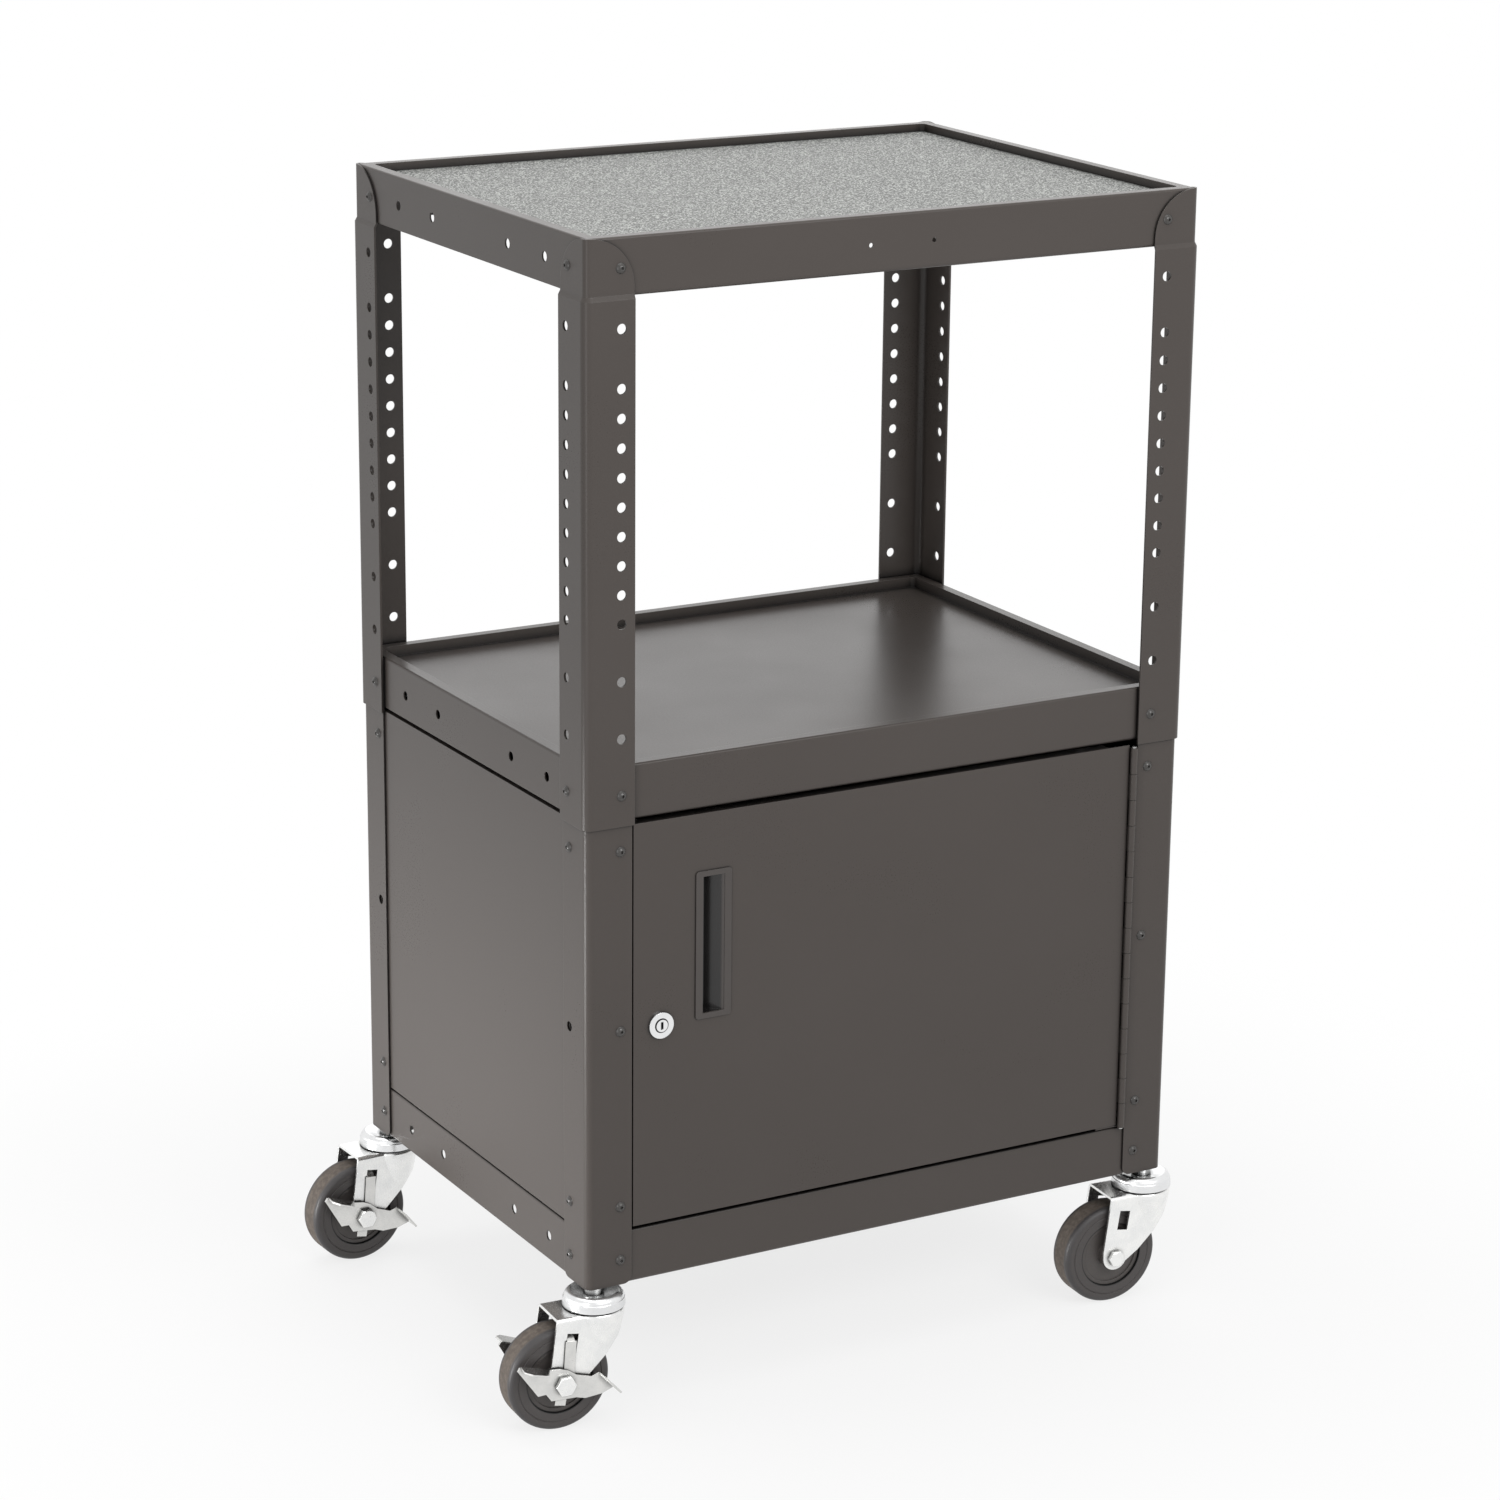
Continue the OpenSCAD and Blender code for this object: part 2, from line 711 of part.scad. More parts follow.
module lock_plug() {
    tail = cam_y - door_face;
    color(chrome) on_lock() difference() {
        union() {
            translate([0, 0, -lock_face_t - plug_proud])
                cylinder(r = plug_d / 2, h = lock_face_t + plug_proud + tail - run / 2);
            cylinder(r = plug_tail_r, h = tail + cam_t + cam_nut_t + run);
        }
        translate([0, 0, -lock_face_t - plug_proud])
            cube([key_slot[0], key_slot[1], 2 * key_slot[2]], center = true);
    }
}

// Cam, pointing down when the door is unlocked, with the nut that holds it
module lock_cam() {
    color(zinc) on_lock() translate([0, 0, cam_y - door_face]) difference() {
        union() {
            cylinder(r = cam_w / 2, h = cam_t);
            translate([-cam_w / 2, 0, 0]) cube([cam_w, cam_reach - cam_w / 4, cam_t]);
            translate([-cam_w / 4, 0, 0]) cube([cam_w / 2, cam_reach, cam_t]);
            for (x = [-1, 1])
                translate([x * cam_w / 4, cam_reach - cam_w / 4, 0]) cylinder(r = cam_w / 4, h = cam_t);
            cylinder(r = cam_nut_af / sqrt(3), h = cam_t + cam_nut_t, $fn = 6);
        }
        translate([0, 0, -cut])
            cylinder(r = plug_tail_r + seat, h = cam_t + cam_nut_t + 2 * cut);
    }
}

// Strike: screwed behind the left post, with a tongue that stops the door and holds the cam
module strike_plate() {
    edge = door_left - door_gap_left - web_off;
    base_left = -half_w + shelf_r;
    hole_z = middle_z - spare_row * pitch;
    mid_z = lock_at[1];
    color(zinc) placed() difference() {
        union() {
            translate([base_left, -half_d + seat, mid_z - strike_half])
                cube([edge - base_left, strike_t, 2 * strike_half]);
            translate([edge - strike_t, -half_d + seat, mid_z - tongue_half])
                cube([strike_t, tongue_y + tongue_t + half_d - seat, 2 * tongue_half]);
            translate([edge - strike_t, tongue_y, mid_z - tongue_half])
                cube([tongue_reach, tongue_t, 2 * tongue_half]);
        }
        hole_y(-half_w + hole_inset, -half_d, hole_z, shank_d / 2 + shank_play, 6 * strike_t);
    }
}

// Button head screw through a wall: +Z points out of the wall, the head sits at z = 0
module button_screw(grip) {
    dome = (head_d * head_d / 4 + head_h * head_h) / (2 * head_h);
    key_r = head_d / 6;
    difference() {
        union() {
            intersection() {
                translate([0, 0, head_h - dome]) sphere(dome, $fn = 48);
                translate([0, 0, seat]) cylinder(r = head_d / 2, h = head_h);
            }
            translate([0, 0, -grip - nut_t - run]) cylinder(r = shank_d / 2, h = grip + nut_t + 2 * run);
        }
        translate([0, 0, head_h / 3]) cylinder(r = key_r, h = head_h, $fn = 6);
    }
}

// Hexagon nut behind a wall of thickness grip
module screw_nut(grip) {
    translate([0, 0, -grip - nut_t - seat]) difference() {
        cylinder(r = nut_af / sqrt(3), h = nut_t, $fn = 6);
        translate([0, 0, -cut]) cylinder(r = shank_d / 2 + seat, h = nut_t + 2 * cut);
    }
}

// Puts a screw or nut on the front or back leg of a corner, out from the flange plane
module on_front(c, z, out) {
    translate([c[0] * (half_w - hole_inset), c[1] * (half_d + out), z])
        rotate([-c[1] * 90, 0, 0]) children();
}

// The same on the side leg
module on_side(c, z, out) {
    translate([c[0] * (half_w + out), c[1] * (half_d - hole_inset), z])
        rotate([0, c[0] * 90, 0]) children();
}

// Each shelf row: height, wall outside the flange, wall inside the flange
shelf_rows = [
    [top_z, post_t, shelf_t],
    [middle_z, 2 * post_t, shelf_t],
    [bottom_z, post_t, shelf_t + seat + bracket_t]
];

module shelf_screws() {
    color(black) placed() for (c = corners, row = shelf_rows) {
        on_front(c, row[0], row[1]) button_screw(row[1] + row[2]);
        on_side(c, row[0], row[1]) button_screw(row[1] + row[2]);
    }
}

module shelf_nuts() {
    color(zinc) placed() for (c = corners, row = shelf_rows) {
        on_front(c, row[0], row[1]) screw_nut(row[1] + row[2]);
        on_side(c, row[0], row[1]) screw_nut(row[1] + row[2]);
    }
}

// Sheets behind the post at a row of the front and back legs
function front_grip(c, row) =
    c[1] > 0 ? panel_t :
    c[0] > 0 ? leaf_t + seat :
    row == spare_row ? strike_t + seat : 0;

// The front legs have a screw in every row and the back legs in the two panel rows
function front_screw_rows(c) = c[1] < 0 ? concat(panel_rows, [spare_row]) : panel_rows;

module panel_screws() {
    color(black) placed() for (c = corners) {
        for (row = front_screw_rows(c))
            on_front(c, middle_z - row * pitch, post_t) button_screw(post_t + front_grip(c, row));
        for (row = panel_rows)
            on_side(c, middle_z - row * pitch, post_t) button_screw(post_t + panel_t);
    }
}

module panel_nuts() {
    color(zinc) placed() for (c = corners) {
        for (row = front_screw_rows(c))
            on_front(c, middle_z - row * pitch, post_t) screw_nut(post_t + front_grip(c, row));
        for (row = panel_rows)
            on_side(c, middle_z - row * pitch, post_t) screw_nut(post_t + panel_t);
    }
}

// Corner brackets with a threaded boss for each caster's stem
module caster_brackets() {
    inner = shelf_t + seat;
    screw_r = shank_d / 2 + shank_play;
    color(zinc) placed() for (c = corners) at_corner(c) difference() {
        union() {
            translate([inner, inner, caster_h]) cube([bracket_w, bracket_w, bracket_floor]);
            translate([inner, inner, caster_h]) cube([bracket_w, bracket_t, bracket_rise]);
            translate([inner, inner, caster_h]) cube([bracket_t, bracket_w, bracket_rise]);
            translate([stem_inset, stem_inset, caster_h])
                cylinder(r = boss_r, h = bracket_floor + boss_h);
        }
        translate([stem_inset, stem_inset, caster_h - cut])
            cylinder(r = thread_r + thread_play, h = bracket_floor + boss_h + 2 * cut);
        // Room for the bend of the shelf's corner
        translate([-cut, -cut, caster_h - cut])
            cube([shelf_r + cut, shelf_r + cut, bracket_rise + 2 * cut]);
        leg_holes(bottom_z, screw_r);
    }
}

// Places a caster part: the stem is the origin, the trail runs along +X
module at_caster(c, yaw) {
    placed() translate([c[0] * (half_w - stem_inset), c[1] * (half_d - stem_inset), 0])
        rotate([0, 0, yaw]) children();
}

// Every caster's corner and angle
casters = [[corners[0], yaw_fl], [corners[1], yaw_fr], [corners[2], yaw_rl], [corners[3], yaw_rr]];

// Kingpin, collar and threaded stem in one piece
module caster_stems() {
    color(zinc) for (k = casters) at_caster(k[0], k[1]) {
        translate([0, 0, fork_top - fork_t - run - king_head[1]])
            cylinder(r = king_head[0], h = king_head[1]);
        translate([0, 0, fork_top - fork_t - run - king_head[1]])
            cylinder(r = king_r, h = collar_foot - fork_top + fork_t + run + king_head[1]);
        translate([0, 0, collar_foot]) cylinder(r = collar_r, h = caster_h - seat - collar_foot);
        translate([0, 0, collar_foot])
            cylinder(r = thread_r, h = caster_h + bracket_floor + boss_h - collar_foot);
    }
}

// Dished cap over the swivel bearing
module caster_caps() {
    shoulder_r = (cap_r - cap_shoulder) * 0.86;
    rim = 1.5;
    color(chrome) for (k = casters) at_caster(k[0], k[1]) rotate_extrude()
        difference() {
            union() {
                polygon([[king_r + seat, race_foot], [cap_r - rim, race_foot],
                         [cap_r - rim, cap_foot], [cap_r, cap_foot],
                         [cap_r - rim / 3, cap_top - shoulder_r],
                         [cap_shoulder, cap_top], [king_r + seat, collar_foot - seat]]);
                translate([cap_shoulder, cap_top - shoulder_r]) intersection() {
                    circle(shoulder_r);
                    square(shoulder_r);
                }
            }
            // Seat of the collar
            translate([0, collar_foot - seat]) square([collar_r + seat, cap_top]);
        }
}

// Caged ring of balls between each cap and its fork
module swivel_bearings() {
    mid = (fork_top + race_foot) / 2;
    color(steel) for (k = casters) at_caster(k[0], k[1]) translate([0, 0, mid]) {
        difference() {
            cylinder(r = cage[1], h = cage[2], center = true);
            cylinder(r = cage[0], h = cage[2] + cut, center = true);
        }
        for (i = [0 : balls - 1])
            rotate([0, 0, i * 360 / balls]) translate([ball_circle, 0, 0]) sphere(ball_r, $fn = 24);
    }
}

// Side outline of a fork's leg, seen along the axle: trail and height
module leg_outline() {
    difference() {
        union() {
            polygon([[-2 * crown_r, fork_top + cut], [fork_back, fork_top + cut],
                     [trail + leg_foot_r, wheel_r + leg_foot_r / 2], [trail + leg_foot_r, wheel_r],
                     [trail, wheel_r - leg_foot_r], [trail - leg_foot_r * 0.8, wheel_r - leg_foot_r / 2],
                     [trail - 2 * leg_foot_r, wheel_r + leg_foot_r / 3],
                     [-leg_foot_r / 6, wheel_r + 1.6 * leg_foot_r],
                     [-leg_foot_r, wheel_r + 2.5 * leg_foot_r],
                     [-crown_r, fork_top - 1.5 * crown_skirt], [-2 * crown_r, fork_top - crown_skirt]]);
            translate([trail, wheel_r]) circle(leg_foot_r);
        }
        translate(window_at) rotate(window_lean) square(window, center = true);
    }
}

// Roof of a fork across the trail: a flat top with rounded shoulders
module roof(half, r, top) {
    translate([-half, 0]) square([2 * half, top - r]);
    translate([-half + r, 0]) square([2 * half - 2 * r, top]);
    for (x = [-1, 1]) translate([x * (half - r), top - r]) circle(r);
}

// Two legs joined by a half-round front, closed at the top
module leg_block(half, r, top) {
    intersection() {
        rotate([90, 0, 90]) translate([0, 0, -crown_r])
            linear_extrude(crown_r + trail + 2 * leg_foot_r) roof(half, r, top);
        linear_extrude(top + cut) {
            circle(half);
            translate([0, -half]) square([trail + 2 * leg_foot_r, 2 * half]);
        }
    }
}

// Round crown that narrows to the width of the legs
module crown_block(r, half, bend, top) {
    rotate_extrude() {
        translate([0, top - bend]) square([r - bend, bend]);
        polygon([[0, top - bend], [r, top - bend], [r, fork_top - crown_skirt / 2],
                 [half, fork_top - crown_fade], [0, fork_top - crown_fade]]);
        translate([r - bend, top - bend]) circle(bend);
    }
}

module fork(c, yaw) {
    under = fork_top - fork_t;
    bend_in = bend_out - fork_t;
    color(zinc) at_caster(c, yaw) difference() {
        union() {
            intersection() {
                leg_block(fork_half, bend_out, fork_top);
                rotate([90, 0, 0]) linear_extrude(4 * crown_r, center = true) leg_outline();
            }
            intersection() {
                crown_block(crown_r, fork_half, bend_out, fork_top);
                rotate([90, 0, 0]) linear_extrude(4 * crown_r, center = true) leg_outline();
            }
        }
        leg_block(fork_in, bend_in, under);
        crown_block(crown_r - fork_t, fork_in, bend_in, under);
        translate([0, 0, under - cut]) cylinder(r = king_r + king_play, h = fork_t + 2 * cut);
        translate([trail, 0, wheel_r]) rotate([90, 0, 0])
            cylinder(r = axle_r + thread_play, h = fork_w + 2 * cut, center = true);
    }
}

module fl_fork() { fork(corners[0], yaw_fl); }
module fr_fork() { fork(corners[1], yaw_fr); }
module rl_fork() { fork(corners[2], yaw_rl); }
module rr_fork() { fork(corners[3], yaw_rr); }

// Places a wheel part: the axle is the Z axis and the near side of the caster is +Z
module at_axle(c, yaw) {
    at_caster(c, yaw) translate([trail, 0, wheel_r]) rotate([-90, 0, 0]) children();
}

// Hexagon with its far corners chamfered
module hex_block(af, h) {
    flat = af * 0.47;
    intersection() {
        cylinder(r = af / sqrt(3), h = h, $fn = 6);
        cylinder(r1 = flat + h * sqrt(3), r2 = flat, h = h);
    }
}

// Bolt and nut: near and far are the faces that the head and the nut clamp
module axle(c, yaw, near, far, af) {
    end = axle_nut_h + axle_tip;
    color(zinc) at_axle(c, yaw) {
        translate([0, 0, near + washer_play]) hex_block(af, axle_head_h);
        translate([0, 0, -far - end])
            cylinder(r = axle_r, h = near + far + end + washer_play + cut);
        translate([0, 0, -far - washer_play]) mirror([0, 0, 1]) difference() {
            hex_block(af, axle_nut_h);
            translate([0, 0, -cut]) cylinder(r = axle_r + seat, h = axle_nut_h + 2 * cut);
        }
    }
}

module fl_axle() { axle(corners[0], yaw_fl, lever_out, lever_out, axle_af); }
module fr_axle() { axle(corners[1], yaw_fr, fork_half, fork_half, plain_af); }
module rl_axle() { axle(corners[2], yaw_rl, lever_out, fork_half, axle_af); }
module rr_axle() { axle(corners[3], yaw_rr, fork_half, fork_half, plain_af); }

// Sleeve that the bolt clamps between the legs and the hub turns on
module axle_sleeve(c, yaw) {
    color(steel) at_axle(c, yaw) difference() {
        cylinder(r = sleeve_r, h = 2 * (fork_in - seat), center = true);
        cylinder(r = axle_r + seat, h = fork_w, center = true);
    }
}

module fl_axle_sleeve() { axle_sleeve(corners[0], yaw_fl); }
module fr_axle_sleeve() { axle_sleeve(corners[1], yaw_fr); }
module rl_axle_sleeve() { axle_sleeve(corners[2], yaw_rl); }
module rr_axle_sleeve() { axle_sleeve(corners[3], yaw_rr); }

module hub(c, yaw) {
    bore = sleeve_r + hub_play;
    boss = fork_in - 2 * run;
    color(hub_grey) at_axle(c, yaw) rotate_extrude()
        polygon([[bore, -boss], [hub_boss_r, -boss], [hub_boss_r, -hub_half + hub_lip[1]],
                 [seam_r - hub_lip[0], -hub_half + hub_lip[1]], [seam_r - hub_lip[0], -hub_half],
                 [seam_r, -hub_half], [seam_r, hub_half], [seam_r - hub_lip[0], hub_half],
                 [seam_r - hub_lip[0], hub_half - hub_lip[1]], [hub_boss_r, hub_half - hub_lip[1]],
                 [hub_boss_r, boss], [bore, boss]]);
}

module fl_hub() { hub(corners[0], yaw_fl); }
module fr_hub() { hub(corners[1], yaw_fr); }
module rl_hub() { hub(corners[2], yaw_rl); }
module rr_hub() { hub(corners[3], yaw_rr); }

module tyre(c, yaw) {
    bore = seam_r + seat;
    color(rubber) at_axle(c, yaw) rotate_extrude() difference() {
        union() {
            translate([bore, -tyre_half]) square([wheel_r - tyre_round - bore, tyre_w]);
            translate([bore, -tyre_half + tyre_round])
                square([wheel_r - bore, tyre_w - 2 * tyre_round]);
            for (y = [-1, 1])
                translate([wheel_r - tyre_round, y * (tyre_half - tyre_round)]) circle(tyre_round);
        }
        for (y = [-1, 1]) translate([ring_r, y * tyre_half]) circle(ring_w / 2, $fn = 16);
    }
}

module fl_tyre() { tyre(corners[0], yaw_fl); }
module fr_tyre() { tyre(corners[1], yaw_fr); }
module rl_tyre() { tyre(corners[2], yaw_rl); }
module rr_tyre() { tyre(corners[3], yaw_rr); }

// Outline of a brake lever about the axle: trail and height, as shares of its two reaches
back_shares = [[1, 0.57], [1.05, 0.49], [0.6, -0.15], [0.42, -0.14], [0.3, -0.31]];
front_shares = [[-0.23, -0.29], [-0.41, -0.34], [-0.74, -0.31], [-1, -0.21],
                [-0.68, 0.13], [-0.54, 0.07], [-0.25, 0.15], [-0.08, 0.27]];
top_shares = [[0.29, 0.385], [0.09, 0.37]];

module lever_outline() {
    polygon(concat(
        [for (s = back_shares) lever_back * s],
        [for (s = front_shares) lever_front * s],
        [lever_back * top_shares[1], lever_back * top_shares[0]]));
}

// Pedal that stands out from the lever's edge, from point a to point b of its outline
module pedal(a, b, shape) {
    edge = b - a;
    len = norm(edge);
    translate([a[0], a[1], 0]) rotate([0, 0, atan2(edge[1], edge[0])])
        translate([0, pedal_lap - lever_t, 0]) rotate([90, 0, 0]) mirror([0, 0, 1])
            linear_extrude(lever_t)
                polygon([for (s = shape) [s[0] * len, s[1] * (lever_t + pedal_w)]]);
}

// Pedal outlines as shares of the pedal's length and width
back_pedal_shares = [[0.04, 0.02], [0.96, 0.02], [1, 0.72], [0.8, 1], [0.3, 1]];
front_pedal_shares = [[0.06, 0.02], [0.94, 0.02], [0.8, 1], [0.03, 1]];

// Brake lever in the plane of its outline, with +Z pointing away from the fork
module lever_form() {
    difference() {
        union() {
            linear_extrude(lever_t) lever_outline();
            pedal(lever_back * top_shares[0], lever_back * back_shares[0], back_pedal_shares);
            pedal(lever_front * front_shares[3], lever_front * front_shares[4], front_pedal_shares);
        }
        translate([0, 0, -cut]) cylinder(r = axle_r + lever_play, h = lever_t + 2 * cut);
    }
}

// Lever on the near side (side = 1) or the far side (side = -1) of a caster
module brake_lever(c, yaw, side, raise) {
    color(zinc) at_caster(c, yaw) translate([trail, 0, wheel_r]) rotate([0, -raise, 0])
        mirror([0, side > 0 ? 0 : 1, 0]) translate([0, lever_y, 0])
            rotate([90, 0, 0]) mirror([0, 0, 1]) lever_form();
}

module fl_brake_lever() { brake_lever(corners[0], yaw_fl, 1, 0); }
module fl_far_brake_lever() { brake_lever(corners[0], yaw_fl, -1, far_raise); }
module rl_brake_lever() { brake_lever(corners[2], yaw_rl, 1, rear_raise); }

// Spring strap: it hangs on the axle, rises outside the leg and bends in through its window
module brake_spring(c, yaw) {
    inward = spring_y - tyre_half - tongue_gap;
    color(zinc) at_caster(c, yaw) translate([trail, 0, wheel_r])
        difference() {
            union() {
                rotate([0, -tab_lean, 0]) translate([-spring_w / 2, spring_y, -spring_tab])
                    cube([spring_w, spring_t, spring_tab]);
                translate([0, spring_y, 0]) rotate([-90, 0, 0])
                    cylinder(r = spring_eye_r, h = spring_t);
                translate([-spring_shift, 0, 0]) rotate([0, -spring_lean, 0]) {
                    translate([-spring_w / 2, spring_y, 0])
                        cube([spring_w, spring_t, spring_rise]);
                    translate([-tongue_w / 2, 0, spring_rise]) rotate([90, 0, 90])
                        linear_extrude(tongue_w)
                            polygon([[spring_y, -2 * spring_t], [spring_y + spring_t, -2 * spring_t],
                                     [spring_y + spring_t, 0], [spring_y - inward, inward],
                                     [spring_y - inward, inward - 2 * spring_t]]);
                }
            }
            rotate([90, 0, 0]) cylinder(r = axle_r + thread_play, h = 4 * fork_w, center = true);
        }
}

module fl_brake_spring() { brake_spring(corners[0], yaw_fl); }
module rl_brake_spring() { brake_spring(corners[2], yaw_rl); }

top_shelf();
middle_shelf();
bottom_shelf();
top_mat();
fl_upper_post();
fr_upper_post();
rl_upper_post();
rr_upper_post();
fl_lower_post();
fr_lower_post();
rl_lower_post();
rr_lower_post();
left_panel();
right_panel();
back_panel();
door_panel();
door_pull();
hinge_door_leaf();
hinge_post_leaf();
hinge_pin();
lock_body();
lock_nut();
lock_plug();
lock_cam();
strike_plate();
shelf_screws();
shelf_nuts();
panel_screws();
panel_nuts();
caster_brackets();
caster_stems();
caster_caps();
swivel_bearings();
fl_fork();
fr_fork();
rl_fork();
rr_fork();
fl_axle();
fr_axle();
rl_axle();
rr_axle();
fl_axle_sleeve();
fr_axle_sleeve();
rl_axle_sleeve();
rr_axle_sleeve();
fl_hub();
fr_hub();
rl_hub();
rr_hub();
fl_tyre();
fr_tyre();
rl_tyre();
rr_tyre();
fl_brake_lever();
fl_far_brake_lever();
rl_brake_lever();
fl_brake_spring();
rl_brake_spring();
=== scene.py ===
import json
import math
import bpy
from mathutils import Matrix, Vector


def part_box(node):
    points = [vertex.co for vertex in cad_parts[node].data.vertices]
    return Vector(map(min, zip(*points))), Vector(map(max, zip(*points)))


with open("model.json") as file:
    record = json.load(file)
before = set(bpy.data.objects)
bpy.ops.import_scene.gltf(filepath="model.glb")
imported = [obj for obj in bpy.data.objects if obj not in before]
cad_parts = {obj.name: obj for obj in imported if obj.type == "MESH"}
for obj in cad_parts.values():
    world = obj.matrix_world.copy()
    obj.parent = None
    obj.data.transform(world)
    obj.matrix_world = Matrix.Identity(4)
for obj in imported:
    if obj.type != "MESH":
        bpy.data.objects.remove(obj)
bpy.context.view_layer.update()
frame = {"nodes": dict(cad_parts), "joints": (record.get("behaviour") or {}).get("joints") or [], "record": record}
NODES = frame["nodes"]

# All lengths are in metres.

# Radius that the shading gives to sharp edges
SHEET_EDGE = 0.0006
SMALL_EDGE = 0.0005
FINE_EDGE = 0.0003

# The finger pull's bezel turns into the black recess between these depths; that black is painted shade.
RECESS_DEPTHS = (0.0014, 0.0030)

# Half the key slot's width and height, where the slot's shade is painted dark, and the dark line round the plug
KEY_SLOT = (0.0016, 0.0042)
PLUG_RING = 0.0062
PLUG_RING_HALF = 0.0007

# Wheels: the seam between hub and tyre, where the side darkens towards the tread, where
# the tread starts, where its worn band fades out sideways, and the pitch of its fine lines
SEAM = 0.0315
SEAM_HALF = 0.0009
SHOULDER_RADII = (0.0425, 0.0465)
TREAD_RADII = (0.0462, 0.0474)
TREAD_REACH = (0.0068, 0.0105)
TREAD_PITCH = 0.0016

# The floor turns from lit grey to plain white over these distances from the footprint
FLOOR_SIZE = 24
FOOTPRINT = (0.33, 0.25, 0.0)
FLOOR_FADE = (0.03, 0.75)
FLOOR_WHITE_NEAR = 0.78

# The world's strength for the rays that light the cart
WORLD_LIGHT = 0.70

# Name, place, aim, size, power in W, spread in degrees
SOFTBOXES = (
    ("overhead_softbox", (-0.2, 0.0, 2.9), (0.0, 0.0, 0.6), (2.4, 2.0), 24, 180),
    ("front_softbox", (0.4, -2.4, 2.0), (0.0, 0.0, 1.0), (1.8, 0.8), 11, 100),
    ("strip_light", (-1.96, -1.3, 0.75), (-0.3, -0.22, 0.6), (0.4, 1.5), 6, 180),
    ("rear_softbox", (1.2, 2.2, 1.3), (0.0, 0.0, 0.6), (2.0, 1.2), 4.5, 180),
    ("low_left_softbox", (-1.35, 0.2, 0.14), (-0.3, 0.0, 0.2), (0.9, 0.2), 1.7, 50),
)

# The photograph's camera, fitted to the cart's corners, screws and rows of holes
CAMERA_PLACE = (-1.8649, -3.2989, 1.6622)
CAMERA_RIGHT = (0.87070, -0.49173, 0.00928)
CAMERA_AHEAD = (0.47352, 0.83306, -0.28598)
CAMERA_LENS_MM = 101.603


def rgb(r, g, b):
    return (r, g, b, 1.0)


def grey(level):
    return rgb(level, level, level)


